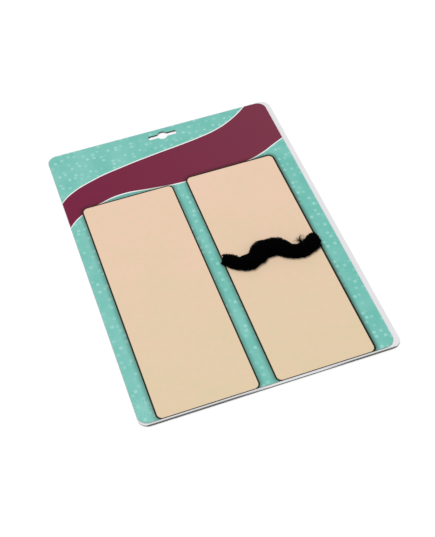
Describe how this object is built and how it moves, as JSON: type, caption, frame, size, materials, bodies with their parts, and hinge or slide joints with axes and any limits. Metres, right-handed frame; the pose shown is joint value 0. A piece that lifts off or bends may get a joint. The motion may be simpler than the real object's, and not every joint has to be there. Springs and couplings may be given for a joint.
{
  "type": "fake moustache on a display card",
  "caption": "Handlebar-shaped fake moustache of black plush pile with upturned tips, stuck by adhesive tape to a release panel on a flat retail display card with a hang slot.",
  "frame": {"origin": "on the underside of the board, at the middle of its outline", "axes": "+X to the right across the printed face, +Y up the card towards the hang slot, +Z out of the printed face"},
  "size_m": [0.256, 0.3556, 0.0098],
  "materials": {
    "white_board": "uncoated white paperboard with a soft matt face",
    "turquoise_print": "coated paperboard with a satin printed face",
    "beige_release_paper": "release-coated paper, printed beige, satin",
    "double_sided_tape": "double-sided tape, dull",
    "black_plush": "acrylic pile fabric, near black with a faint sheen"
  },
  "bodies": {
    "root": {"backing_board": "white_board", "printed_card": "turquoise_print", "panel_left": "beige_release_paper", "panel_right": "beige_release_paper", "adhesive_tape": "double_sided_tape", "moustache": "black_plush"}
  },
  "joints": []
}
